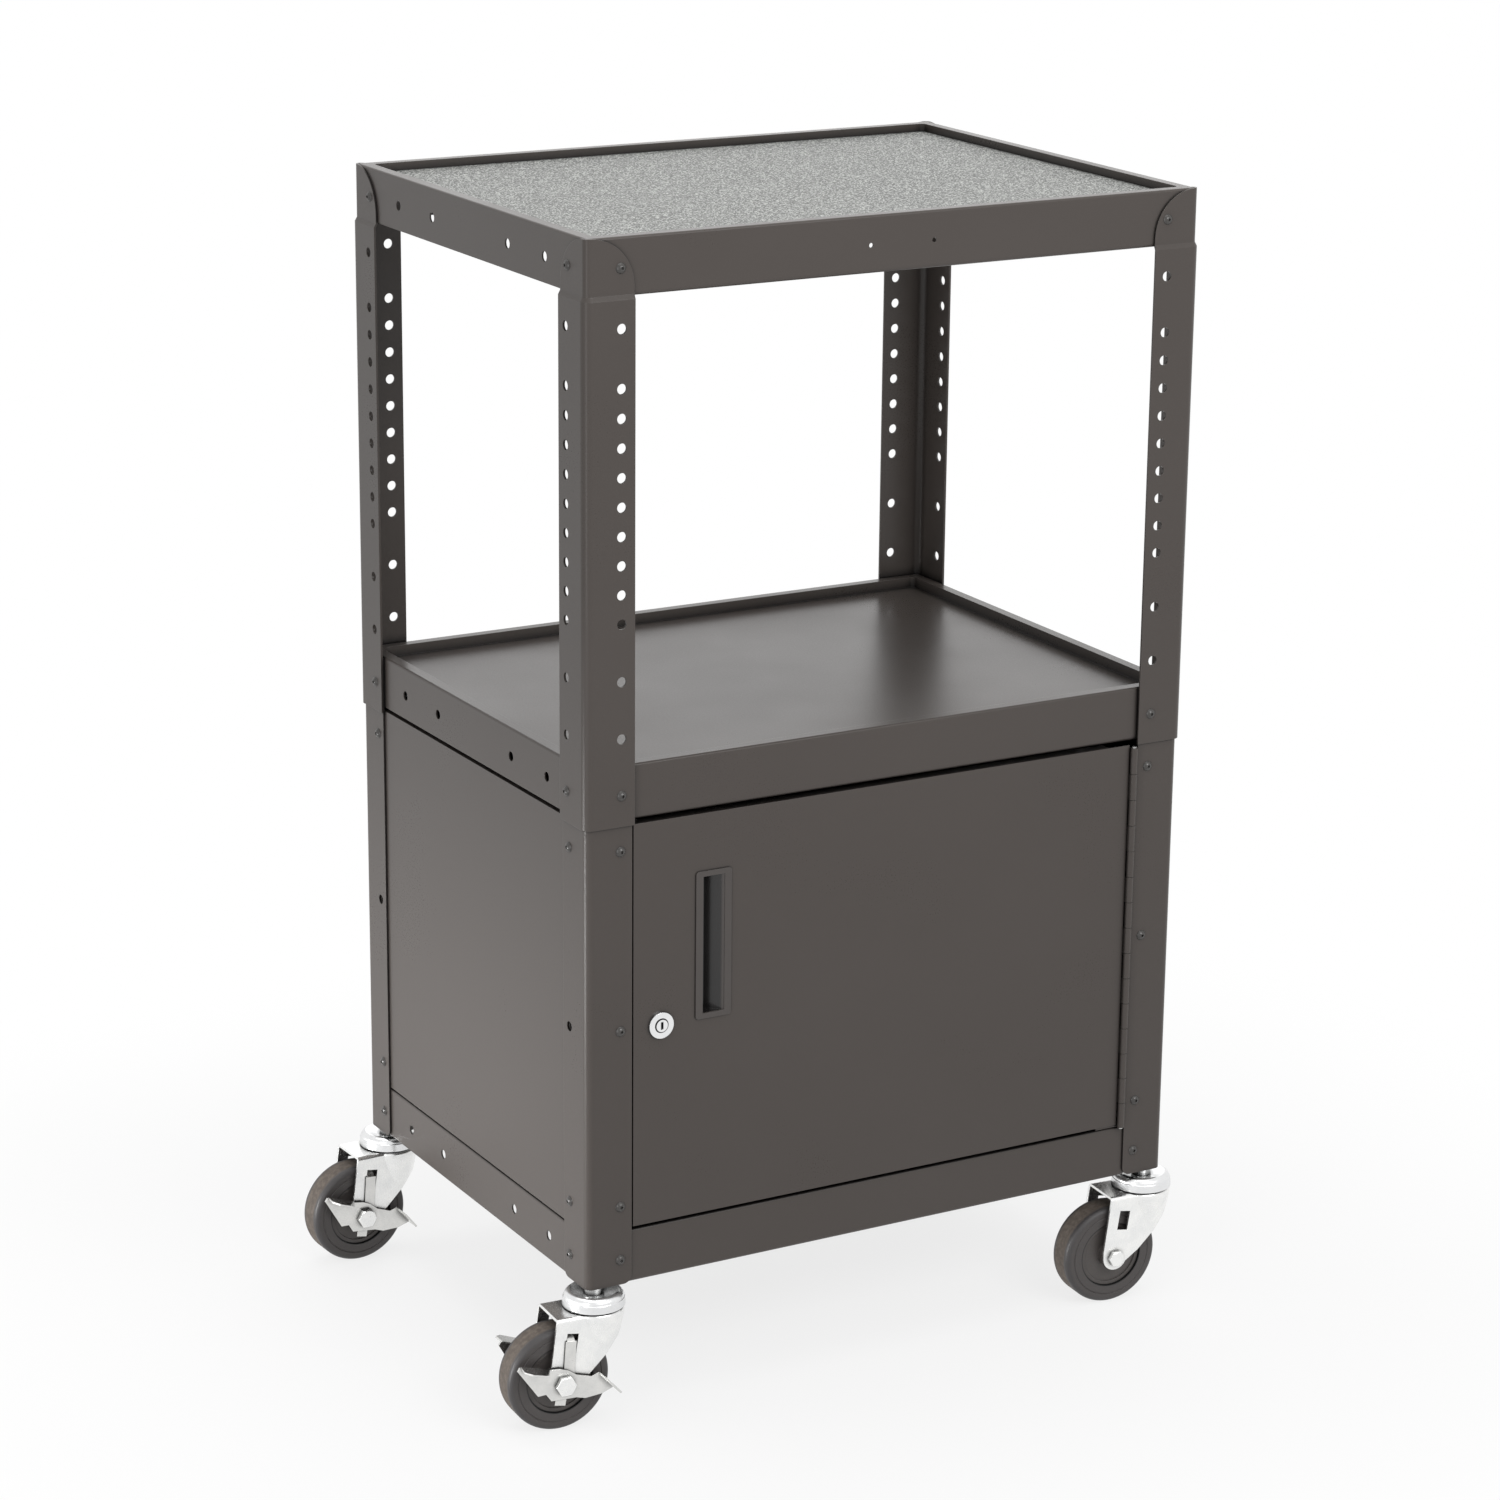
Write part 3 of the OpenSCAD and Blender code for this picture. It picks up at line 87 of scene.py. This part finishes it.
class Shader:
    """A Principled material and short names for the nodes that shape it."""

    def __init__(self, name, **values):
        self.mat = bpy.data.materials.new(name)
        self.mat.use_nodes = True
        self.tree = self.mat.node_tree
        self.bsdf = self.tree.nodes["Principled BSDF"]
        for key, value in values.items():
            self.bsdf.inputs[key.replace("_", " ")].default_value = value
        self.place = self.node("ShaderNodeTexCoord").outputs["Object"]

    def node(self, kind, **props):
        n = self.tree.nodes.new(kind)
        for key, value in props.items():
            setattr(n, key, value)
        return n

    def put(self, socket, value):
        """Link an output to a socket, or set the socket to a plain value."""
        if hasattr(value, "links"):
            self.tree.links.new(value, socket)
        else:
            socket.default_value = value

    def noise(self, scale, detail=2.0, rough=0.5, place=None, output="Fac"):
        n = self.node("ShaderNodeTexNoise")
        self.put(n.inputs["Vector"], place or self.place)
        n.inputs["Scale"].default_value = scale
        n.inputs["Detail"].default_value = detail
        n.inputs["Roughness"].default_value = rough
        return n.outputs[output]

    def pebbles(self, scale, place):
        n = self.node("ShaderNodeTexVoronoi", feature="SMOOTH_F1")
        self.put(n.inputs["Vector"], place)
        n.inputs["Scale"].default_value = scale
        return n.outputs["Distance"]

    def span(self, fac, low, high, out_low=0.0, out_high=1.0, smooth=False):
        """Map low to high onto out_low to out_high, and hold the ends."""
        n = self.node("ShaderNodeMapRange")
        if smooth:
            n.interpolation_type = "SMOOTHSTEP"
        self.put(n.inputs["Value"], fac)
        for key, value in (("From Min", low), ("From Max", high),
                           ("To Min", out_low), ("To Max", out_high)):
            n.inputs[key].default_value = value
        return n.outputs["Result"]

    def vary(self, noise, low, high):
        """Spread the usual values of a noise from low to high."""
        return self.span(noise, 0.3, 0.7, low, high)

    def math(self, op, a, b=0.0):
        n = self.node("ShaderNodeMath", operation=op)
        self.put(n.inputs[0], a)
        self.put(n.inputs[1], b)
        return n.outputs[0]

    def vec(self, op, a, b=(0.0, 0.0, 0.0)):
        n = self.node("ShaderNodeVectorMath", operation=op)
        self.put(n.inputs[0], a)
        self.put(n.inputs[1], b)
        return n.outputs["Value" if op in ("DOT_PRODUCT", "LENGTH") else "Vector"]

    def split(self, vector):
        n = self.node("ShaderNodeSeparateXYZ")
        self.put(n.inputs[0], vector)
        return n.outputs

    def blend(self, fac, a, b):
        n = self.node("ShaderNodeMix", data_type="RGBA")
        self.put(n.inputs[0], fac)
        self.put(n.inputs[6], a)
        self.put(n.inputs[7], b)
        return n.outputs[2]

    def tint(self, base, mask, share, colour):
        """The base with a share of a colour laid over it where the mask is 1."""
        return self.blend(self.math("MULTIPLY", mask, share), base, colour)

    def bump(self, height, distance, strength=1.0, normal=None):
        n = self.node("ShaderNodeBump")
        n.inputs["Strength"].default_value = strength
        n.inputs["Distance"].default_value = distance
        self.put(n.inputs["Height"], height)
        if normal is not None:
            self.put(n.inputs["Normal"], normal)
        return n.outputs["Normal"]

    def soft_edge(self, radius):
        n = self.node("ShaderNodeBevel", samples=6)
        n.inputs["Radius"].default_value = radius
        return n.outputs["Normal"]

    def edge_wear_and_highlight(self, rounded, low, high):
        """1 where the rounded normal leaves the surface's own, which is at its edges: rubbed wear that also paints
        the edges' highlight.
        """
        own = self.node("ShaderNodeNewGeometry").outputs["Normal"]
        return self.span(self.vec("DOT_PRODUCT", rounded, own), high, low)

    def crevice_shade(self, reach, low, high):
        """1 in narrow gaps and inside corners, 0 on open faces: where shade is painted into the colour."""
        n = self.node("ShaderNodeAmbientOcclusion", samples=8)
        n.inputs["Distance"].default_value = reach
        return self.span(n.outputs["AO"], low, high, 1.0, 0.0)

    def arm(self, centre):
        return self.vec("SUBTRACT", self.place, tuple(centre))

    def along(self, centre, axis):
        """Distance from a centre, measured along an axis."""
        return self.math("ABSOLUTE", self.vec("DOT_PRODUCT", self.arm(centre), tuple(axis)))

    def radius(self, centre, axis):
        """Distance from an axis through a centre."""
        return self.vec("LENGTH", self.vec("CROSS_PRODUCT", self.arm(centre), tuple(axis)))

    def line(self, value, place, half):
        """1 where a value lies at a place, 0 from half the line's width on."""
        off = self.math("ABSOLUTE", self.math("SUBTRACT", value, place))
        return self.span(off, 0.6 * half, half, 1.0, 0.0)

    def colour(self, value):
        self.put(self.bsdf.inputs["Base Color"], value)

    def rough(self, value):
        self.put(self.bsdf.inputs["Roughness"], value)

    def normal(self, value):
        self.put(self.bsdf.inputs["Normal"], value)


def powder_coat():
    """Charcoal paint with orange peel, pale flecks, rubbed edges lightened also as painted highlights, and painted
    shade in its gaps.
    """
    s = Shader("charcoal_powder_coat", Specular_IOR_Level=0.3)
    rounded = s.soft_edge(SHEET_EDGE)
    peel = s.noise(720, 2, 0.45)
    fine = s.noise(2900, 2, 0.5)
    broad = s.noise(5.5, 3, 0.55)
    fleck = s.span(s.noise(1900, 1, 0.5), 0.60, 0.74)
    # Lighter edges: rubbed wear, and a painted highlight along them.
    worn = s.edge_wear_and_highlight(rounded, 0.80, 0.995)
    base = s.blend(broad, rgb(0.0560, 0.0475, 0.0425), rgb(0.0630, 0.0540, 0.0490))
    base = s.tint(base, fleck, 0.30, rgb(0.095, 0.084, 0.077))
    base = s.tint(base, worn, 0.35, rgb(0.150, 0.140, 0.132))
    # Painted shade: near black laid into gaps and inside corners.
    s.colour(s.tint(base, s.crevice_shade(0.011, 0.45, 0.92), 0.92, grey(0.004)))
    s.rough(s.math("ADD", s.vary(peel, 0.28, 0.34), s.span(broad, 0.35, 0.65, -0.02, 0.03)))
    s.normal(s.bump(fine, 0.000012, 0.6, s.bump(peel, 0.000045, 0.55, rounded)))
    return s.mat


def pebbled_mat():
    """Grey mat of small domes, each with pale grains, and painted shade near the walls and parts round it."""
    s = Shader("pebbled_mat")
    drift = s.vec("SUBTRACT", s.noise(900, output="Color"), (0.5,) * 3)
    warped = s.vec("ADD", s.place, s.vec("MULTIPLY", drift, (0.0012,) * 3))
    grain = s.noise(610, 1, 0.5)
    broad = s.noise(7, 2, 0.5)
    dome = s.span(s.pebbles(560, warped), 0.05, 0.75, 1.0, 0.0, True)
    base = s.blend(dome, rgb(0.020, 0.021, 0.020), rgb(0.140, 0.145, 0.136))
    base = s.blend(s.span(grain, 0.50, 0.60), base, rgb(0.470, 0.480, 0.460))
    base = s.blend(s.vary(broad, 0.0, 0.10), base, rgb(0.20, 0.205, 0.198))
    # Painted shade: darker where the mat meets walls and other parts.
    s.colour(s.tint(base, s.crevice_shade(0.008, 0.55, 0.95), 0.85, grey(0.010)))
    s.rough(s.vary(grain, 0.46, 0.62))
    s.normal(s.bump(grain, 0.0003, 0.5, s.bump(dome, 0.0004, 0.5)))
    return s.mat


def finger_pull(front):
    """Satin bezel in the door's colour round a gloss recess behind the front, painted black as its shade."""
    s = Shader("finger_pull")
    rounded = s.soft_edge(SMALL_EDGE)
    ripple = s.noise(160, 2, 0.5)
    haze = s.noise(2600, 2, 0.5)
    start, end = (front + depth for depth in RECESS_DEPTHS)
    # The colour turns black with depth behind the front: painted shade in the recess.
    recess_shade = s.span(s.split(s.place)["Y"], start, end, 0.0, 1.0, True)
    black = s.blend(s.noise(40, 3), rgb(0.008, 0.0075, 0.0075), rgb(0.016, 0.015, 0.0145))
    bezel = s.blend(s.noise(30, 3), rgb(0.046, 0.039, 0.036), rgb(0.056, 0.048, 0.044))
    s.colour(s.blend(recess_shade, bezel, black))
    s.rough(s.math("ADD", s.vary(haze, 0.28, 0.36), s.math("MULTIPLY", recess_shade, -0.12)))
    s.normal(s.bump(haze, 0.00001, 0.4, s.bump(ripple, 0.00003, 0.4, rounded)))
    return s.mat


def chrome(name, rough_low, rough_high, dark_lines=None):
    """Clouded chrome, with painted shade in its gaps, or with dark lines laid on it: the key slot's painted shade
    and the joint line round the plug.
    """
    s = Shader(name, Metallic=1.0)
    rounded = s.soft_edge(SHEET_EDGE)
    cloud = s.noise(120, 3, 0.55)
    pits = s.span(s.noise(2400, 2, 0.6), 0.60, 0.78)
    base = s.blend(cloud, rgb(0.74, 0.75, 0.76), grey(0.85))
    if dark_lines:
        s.colour(s.blend(dark_lines(s), base, grey(0.015)))
    else:
        # Painted shade: dark grey laid into gaps and inside corners.
        s.colour(s.tint(base, s.crevice_shade(0.006, 0.4, 0.9), 0.8, grey(0.05)))
    s.rough(s.math("ADD", s.vary(cloud, rough_low, rough_high),
                   s.math("MULTIPLY", pits, 0.12)))
    s.normal(s.bump(cloud, 0.00002, 0.25, rounded))
    return s.mat


def lock_lines(s):
    """The key slot, painted dark as its shade, and the dark joint line round the plug."""
    low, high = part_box("lock_plug")
    middle = (low + high) / 2
    across = s.split(s.arm(middle))
    half_width, half_height = KEY_SLOT
    # The key slot's painted shade.
    slot = s.math("MULTIPLY", s.line(across["X"], 0.0, half_width),
                  s.line(across["Z"], 0.0, half_height))
    ring = s.line(s.radius(middle, (0.0, 1.0, 0.0)), PLUG_RING, PLUG_RING_HALF)
    return s.math("MAXIMUM", slot, ring)


def zinc(name, light, dull, streak, rough_low, rough_high):
    """Bright zinc plate: faint rolling lines, cloudy passivation, small pits and painted shade in its gaps."""
    s = Shader(name, Metallic=1.0)
    rounded = s.soft_edge(SMALL_EDGE)
    stretch = s.node("ShaderNodeMapping")
    s.put(stretch.inputs["Vector"], s.place)
    stretch.inputs["Scale"].default_value = streak
    lines = s.noise(700, 3, 0.6, stretch.outputs["Vector"])
    cloud = s.noise(75, 4, 0.6)
    pits = s.span(s.noise(1500, 2, 0.6), 0.64, 0.80)
    base = s.blend(s.span(cloud, 0.35, 0.65), dull, light)
    base = s.tint(base, pits, 0.25, rgb(0.46, 0.46, 0.45))
    # Painted shade: dark grey laid into gaps and inside corners.
    s.colour(s.tint(base, s.crevice_shade(0.008, 0.4, 0.9), 0.8, grey(0.05)))
    s.rough(s.math("ADD", s.vary(lines, rough_low, rough_high),
                   s.math("MULTIPLY", pits, 0.15)))
    s.normal(s.bump(lines, 0.00002, 0.40, s.bump(cloud, 0.00003, 0.20, rounded)))
    return s.mat


def black_oxide():
    """Black screws with rubbed edges, lightened also as a painted highlight."""
    s = Shader("black_oxide_screw")
    rounded = s.soft_edge(FINE_EDGE)
    grain = s.noise(2600, 3, 0.6)
    base = s.blend(grain, rgb(0.030, 0.028, 0.026), rgb(0.060, 0.056, 0.053))
    # Lighter edges: rubbed wear, and a painted highlight along them.
    s.colour(s.tint(base, s.edge_wear_and_highlight(rounded, 0.75, 0.99), 0.5, rgb(0.22, 0.215, 0.21)))
    s.rough(s.vary(grain, 0.20, 0.34))
    s.normal(s.bump(grain, 0.00002, 0.5, rounded))
    return s.mat


def machined():
    s = Shader("machined_steel", Metallic=1.0)
    rounded = s.soft_edge(FINE_EDGE)
    grain = s.noise(1800, 3, 0.6)
    s.colour(s.blend(s.noise(140, 3), rgb(0.52, 0.52, 0.51), rgb(0.66, 0.66, 0.65)))
    s.rough(s.vary(grain, 0.24, 0.38))
    s.normal(s.bump(grain, 0.00002, 0.4, rounded))
    return s.mat


def moulded_hub(name, centre, axis):
    s = Shader(name)
    rounded = s.soft_edge(SMALL_EDGE)
    grain = s.noise(1900, 3, 0.55)
    seam = s.line(s.radius(centre, axis), SEAM, SEAM_HALF)
    base = s.blend(s.noise(60, 3, 0.5), rgb(0.054, 0.047, 0.044), rgb(0.070, 0.062, 0.058))
    s.colour(s.blend(seam, base, grey(0.004)))
    s.rough(s.vary(grain, 0.36, 0.50))
    s.normal(s.bump(grain, 0.00004, 0.5, rounded))
    return s.mat


def rubber_tyre(name, centre, axis):
    """Grey-black rubber with a band on the tread that the floor has rubbed brown."""
    s = Shader(name)
    rounded = s.soft_edge(SHEET_EDGE)
    along, radius = s.along(centre, axis), s.radius(centre, axis)
    scuff = s.noise(220, 4, 0.6)
    grain = s.noise(1700, 3, 0.6)
    rim = s.math("ADD", radius, s.vary(scuff, -0.0006, 0.0006))
    reach = s.math("ADD", along, s.vary(scuff, -0.0012, 0.0012))
    tread = s.math("MULTIPLY", s.span(rim, *TREAD_RADII, 0.0, 1.0, True),
                   s.span(reach, *TREAD_REACH, 1.0, 0.0, True))
    shoulder = s.span(rim, *SHOULDER_RADII, 0.0, 1.0, True)
    side = s.blend(grain, rgb(0.044, 0.039, 0.038), rgb(0.062, 0.055, 0.053))
    side = s.blend(s.line(radius, SEAM, SEAM_HALF), side, grey(0.004))
    side = s.tint(side, shoulder, 0.6, rgb(0.030, 0.029, 0.031))
    dust = s.span(scuff, 0.40, 0.66)
    worn = s.blend(dust, rgb(0.070, 0.056, 0.046), rgb(0.112, 0.092, 0.076))
    s.colour(s.blend(tread, side, worn))
    s.rough(s.span(tread, 0.0, 1.0, 0.46, 0.80))
    lines = s.math("SINE", s.math("MULTIPLY", along, 2 * math.pi / TREAD_PITCH))
    s.normal(s.bump(s.math("MULTIPLY", lines, tread), 0.00006, 0.4,
                    s.bump(grain, 0.00006, 0.5, s.bump(scuff, 0.0002, 0.35, rounded))))
    return s.mat


FINISH = {
    "charcoal_paint": powder_coat(),
    "shelf_mat": pebbled_mat(),
    "black_pull": finger_pull(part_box("door_pull")[0].y),
    "chrome": chrome("bright_chrome", 0.07, 0.12, lock_lines),
    "zinc_plate": zinc("bright_zinc", light=rgb(0.92, 0.92, 0.905), dull=rgb(0.84, 0.845, 0.84),
                       streak=(1.0, 1.0, 0.12), rough_low=0.20, rough_high=0.30),
    "zinc_lever": zinc("bright_zinc_lever", light=rgb(0.74, 0.735, 0.715),
                       dull=rgb(0.66, 0.66, 0.645), streak=(0.15, 1.0, 1.0),
                       rough_low=0.18, rough_high=0.28),
    "black_screw": black_oxide(),
    "machined_steel": machined(),
}
SATIN_CAP = chrome("satin_cap", 0.20, 0.27)

slot_of = {part["node"]: part["material_slot"] for part in frame["record"]["subparts"]}

spin_axis = {j["child"]: Vector(j["axis"]).normalized()
             for j in frame["joints"] if j["child"].endswith("_wheel")}

# Each hub and tyre has a material of its own, laid out round its wheel's axis
for name, obj in NODES.items():
    if name.endswith(("_tyre", "_hub")):
        low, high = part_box(name[:2] + "_tyre")
        make = rubber_tyre if name.endswith("_tyre") else moulded_hub
        finish = make(name + "_finish", (low + high) / 2, spin_axis[name[:2] + "_wheel"])
    elif name == "caster_caps":
        finish = SATIN_CAP
    else:
        finish = FINISH[slot_of[name]]
    obj.data.materials.clear()
    obj.data.materials.append(finish)


def white_for_background(tree):
    """1 on the rays that see the background: the camera's, glossy and transmitted ones."""
    path = tree.nodes.new("ShaderNodeLightPath")
    total = path.outputs["Is Camera Ray"]
    for key in ("Is Glossy Ray", "Is Transmission Ray"):
        n = tree.nodes.new("ShaderNodeMath")
        n.operation = "MAXIMUM"
        tree.links.new(total, n.inputs[0])
        tree.links.new(path.outputs[key], n.inputs[1])
        total = n.outputs[0]
    return total


def studio_floor():
    """Pale floor that fades to white round the cart and is clear from below."""
    bpy.ops.mesh.primitive_plane_add(size=FLOOR_SIZE, location=(0, 0, 0))
    floor = bpy.context.object
    floor.name = "studio_floor"
    s = Shader("pale_floor", Roughness=0.9, Specular_IOR_Level=0.1)
    s.colour(s.blend(s.noise(0.6, 2), grey(0.775), grey(0.785)))
    glow = s.node("ShaderNodeEmission")
    glow.inputs["Strength"].default_value = 1.0
    outside = s.vec("MAXIMUM", s.vec("SUBTRACT", s.vec("ABSOLUTE", s.place), FOOTPRINT))
    far = s.span(s.vec("LENGTH", outside), *FLOOR_FADE, 0.0, 1.0, True)
    white = s.span(far, 0.0, 1.0, FLOOR_WHITE_NEAR, 1.0)
    above = s.node("ShaderNodeMixShader")
    s.put(above.inputs[0], s.math("MULTIPLY", white, white_for_background(s.tree)))
    s.put(above.inputs[1], s.bsdf.outputs[0])
    s.put(above.inputs[2], glow.outputs[0])
    both = s.node("ShaderNodeMixShader")
    s.put(both.inputs[0], s.node("ShaderNodeNewGeometry").outputs["Backfacing"])
    s.put(both.inputs[1], above.outputs[0])
    s.put(both.inputs[2], s.node("ShaderNodeBsdfTransparent").outputs[0])
    s.put(s.tree.nodes["Material Output"].inputs["Surface"], both.outputs[0])
    floor.data.materials.append(s.mat)


def studio_world():
    world = bpy.data.worlds.new("studio")
    bpy.context.scene.world = world
    world.use_nodes = True
    tree = world.node_tree
    back = tree.nodes["Background"]
    back.inputs["Color"].default_value = grey(1.0)
    level = tree.nodes.new("ShaderNodeMapRange")
    level.inputs["To Min"].default_value = WORLD_LIGHT
    level.inputs["To Max"].default_value = 1.0
    tree.links.new(white_for_background(tree), level.inputs["Value"])
    tree.links.new(level.outputs["Result"], back.inputs["Strength"])


def softbox(name, place, aim, size, power, spread):
    data = bpy.data.lights.new(name, "AREA")
    data.shape = "RECTANGLE"
    data.size, data.size_y = size
    data.energy = power
    data.spread = math.radians(spread)
    lamp = bpy.data.objects.new(name, data)
    lamp.location = place
    lamp.rotation_euler = (Vector(aim) - Vector(place)).to_track_quat("-Z", "Y").to_euler()
    lamp.visible_camera = False
    bpy.context.scene.collection.objects.link(lamp)


def camera():
    data = bpy.data.cameras.new("photo_camera")
    data.sensor_fit = "HORIZONTAL"
    data.sensor_width = 36.0
    data.lens = CAMERA_LENS_MM
    data.clip_end = 100
    cam = bpy.data.objects.new("photo_camera", data)
    right = Vector(CAMERA_RIGHT).normalized()
    ahead = Vector(CAMERA_AHEAD).normalized()
    up = right.cross(ahead).normalized()
    right = ahead.cross(up)
    turn = Matrix((right, up, -ahead)).transposed().to_4x4()
    cam.matrix_world = Matrix.Translation(CAMERA_PLACE) @ turn
    bpy.context.scene.collection.objects.link(cam)
    bpy.context.scene.camera = cam


studio_floor()
studio_world()
for row in SOFTBOXES:
    softbox(*row)
camera()
bpy.context.scene.view_settings.view_transform = "Standard"
